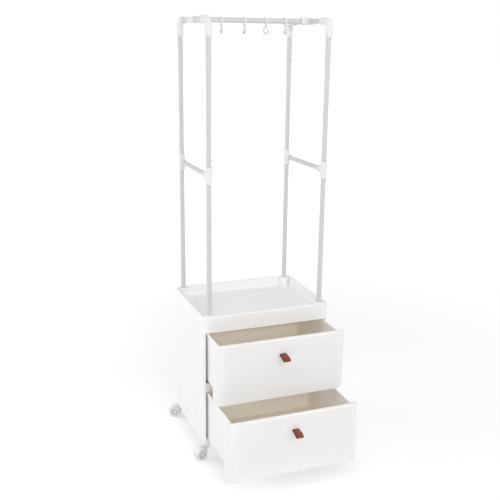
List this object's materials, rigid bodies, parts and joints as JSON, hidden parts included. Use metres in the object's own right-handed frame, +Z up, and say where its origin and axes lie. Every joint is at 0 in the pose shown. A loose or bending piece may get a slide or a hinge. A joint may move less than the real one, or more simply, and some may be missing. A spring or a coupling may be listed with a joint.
{
  "type": "clothing rack with drawers",
  "caption": "Narrow clothes rack: steel tube frame with a hanging rail and sliding hooks, on a white plastic cabinet with pull-out drawers, tray top and swivel castors.",
  "frame": {"origin": "centre of the footprint of the rest pose, drawers part open, on the floor the wheels stand on", "axes": "+Z up along the posts, +X along the hanging rail, -Y out of the drawer fronts"},
  "size_m": [0.5042, 0.6316, 1.4207],
  "materials": {
    "panel_white": "fine satin moulded polypropylene, white",
    "drawer_white": "fine satin moulded polypropylene, white",
    "tray_white": "fine satin moulded polypropylene, white",
    "tube_enamel": "light grey-white coated steel tube",
    "connector_white": "smooth white moulded plastic",
    "hook_white": "smooth white moulded plastic",
    "leather_tan": "red-brown leather strap",
    "steel": "plain steel",
    "castor_white": "white-grey moulded plastic",
    "wheel_grey": "light grey moulded plastic"
  },
  "bodies": {
    "cabinet": {"base_panel": "panel_white", "left_side_panel": "panel_white", "right_side_panel": "panel_white", "back_panel": "panel_white", "middle_shelf": "panel_white", "top_tray": "tray_white", "left_front_lower_post": "tube_enamel", "left_front_upper_post": "tube_enamel", "left_front_mid_connector": "connector_white", "left_front_top_elbow": "connector_white", "left_top_front_bar": "tube_enamel", "left_rear_lower_post": "tube_enamel", "left_rear_upper_post": "tube_enamel", "left_rear_mid_connector": "connector_white", "left_rear_top_elbow": "connector_white", "left_top_rear_bar": "tube_enamel", "left_mid_side_bar": "tube_enamel", "left_top_tee": "connector_white", "right_front_lower_post": "tube_enamel", "right_front_upper_post": "tube_enamel", "right_front_mid_connector": "connector_white", "right_front_top_elbow": "connector_white", "right_top_front_bar": "tube_enamel", "right_rear_lower_post": "tube_enamel", "right_rear_upper_post": "tube_enamel", "right_rear_mid_connector": "connector_white", "right_rear_top_elbow": "connector_white", "right_top_rear_bar": "tube_enamel", "right_mid_side_bar": "tube_enamel", "right_top_tee": "connector_white", "hanging_rail": "tube_enamel", "left_front_castor_socket": "castor_white", "left_rear_castor_socket": "castor_white", "right_front_castor_socket": "castor_white", "right_rear_castor_socket": "castor_white"},
    "upper_drawer_body": {"upper_drawer": "drawer_white", "upper_pull": "leather_tan", "upper_pull_rivet": "steel", "upper_pull_pin": "steel"},
    "lower_drawer_body": {"lower_drawer": "drawer_white", "lower_pull": "leather_tan", "lower_pull_rivet": "steel", "lower_pull_pin": "steel"},
    "hook_ring_1_body": {"hook_ring_1": "hook_white"},
    "j_hook_1_body": {"j_hook_1": "hook_white"},
    "hook_ring_2_body": {"hook_ring_2": "hook_white"},
    "j_hook_2_body": {"j_hook_2": "hook_white"},
    "hook_ring_3_body": {"hook_ring_3": "hook_white"},
    "j_hook_3_body": {"j_hook_3": "hook_white"},
    "hook_ring_4_body": {"hook_ring_4": "hook_white"},
    "j_hook_4_body": {"j_hook_4": "hook_white"},
    "left_front_castor_body": {"left_front_castor_housing": "castor_white"},
    "left_front_wheels_body": {"left_front_castor_wheels": "wheel_grey"},
    "left_rear_castor_body": {"left_rear_castor_housing": "castor_white"},
    "left_rear_wheels_body": {"left_rear_castor_wheels": "wheel_grey"},
    "right_front_castor_body": {"right_front_castor_housing": "castor_white"},
    "right_front_wheels_body": {"right_front_castor_wheels": "wheel_grey"},
    "right_rear_castor_body": {"right_rear_castor_housing": "castor_white"},
    "right_rear_wheels_body": {"right_rear_castor_wheels": "wheel_grey"}
  },
  "joints": [
    {"name": "upper_drawer_slide", "type": "slide", "parent": "cabinet", "child": "upper_drawer_body", "axis": [0, -1, 0], "range_m": [-0.1, 0.135]},
    {"name": "lower_drawer_slide", "type": "slide", "parent": "cabinet", "child": "lower_drawer_body", "axis": [0, -1, 0], "range_m": [-0.21, 0.025]},
    {"name": "hook_1_slide", "type": "slide", "parent": "cabinet", "child": "hook_ring_1_body", "axis": [1, 0, 0], "range_m": [-0.055, 0.022]},
    {"name": "hook_1_swivel", "type": "hinge", "parent": "hook_ring_1_body", "child": "j_hook_1_body", "pos_m": [-0.103, 0.1305, 1.3963], "axis": [0, 0, 1], "continuous": true},
    {"name": "hook_2_slide", "type": "slide", "parent": "cabinet", "child": "hook_ring_2_body", "axis": [1, 0, 0], "range_m": [-0.022, 0.022]},
    {"name": "hook_2_swivel", "type": "hinge", "parent": "hook_ring_2_body", "child": "j_hook_2_body", "pos_m": [-0.027, 0.1305, 1.3963], "axis": [0, 0, 1], "continuous": true},
    {"name": "hook_3_slide", "type": "slide", "parent": "cabinet", "child": "hook_ring_3_body", "axis": [1, 0, 0], "range_m": [-0.022, 0.018]},
    {"name": "hook_3_swivel", "type": "hinge", "parent": "hook_ring_3_body", "child": "j_hook_3_body", "pos_m": [0.046, 0.1305, 1.3963], "axis": [0, 0, 1], "continuous": true},
    {"name": "hook_4_slide", "type": "slide", "parent": "cabinet", "child": "hook_ring_4_body", "axis": [1, 0, 0], "range_m": [-0.018, 0.045]},
    {"name": "hook_4_swivel", "type": "hinge", "parent": "hook_ring_4_body", "child": "j_hook_4_body", "pos_m": [0.112, 0.1305, 1.3963], "axis": [0, 0, 1], "continuous": true},
    {"name": "left_front_castor_swivel", "type": "hinge", "parent": "cabinet", "child": "left_front_castor_body", "pos_m": [-0.203, -0.0195, 0.05], "axis": [0, 0, 1], "continuous": true},
    {"name": "left_front_wheel_spin", "type": "hinge", "parent": "left_front_castor_body", "child": "left_front_wheels_body", "pos_m": [-0.22811, -0.02623, 0.02], "axis": [-0.2588, 0.9659, 0], "continuous": true},
    {"name": "left_rear_castor_swivel", "type": "hinge", "parent": "cabinet", "child": "left_rear_castor_body", "pos_m": [-0.203, 0.2805, 0.05], "axis": [0, 0, 1], "continuous": true},
    {"name": "left_rear_wheel_spin", "type": "hinge", "parent": "left_rear_castor_body", "child": "left_rear_wheels_body", "pos_m": [-0.22552, 0.2935, 0.02], "axis": [0.5, 0.866, 0], "continuous": true},
    {"name": "right_front_castor_swivel", "type": "hinge", "parent": "cabinet", "child": "right_front_castor_body", "pos_m": [0.203, -0.0195, 0.05], "axis": [0, 0, 1], "continuous": true},
    {"name": "right_front_wheel_spin", "type": "hinge", "parent": "right_front_castor_body", "child": "right_front_wheels_body", "pos_m": [0.22811, -0.02623, 0.02], "axis": [-0.2588, -0.9659, 0], "continuous": true},
    {"name": "right_rear_castor_swivel", "type": "hinge", "parent": "cabinet", "child": "right_rear_castor_body", "pos_m": [0.203, 0.2805, 0.05], "axis": [0, 0, 1], "continuous": true},
    {"name": "right_rear_wheel_spin", "type": "hinge", "parent": "right_rear_castor_body", "child": "right_rear_wheels_body", "pos_m": [0.22552, 0.2935, 0.02], "axis": [0.5, -0.866, 0], "continuous": true}
  ]
}
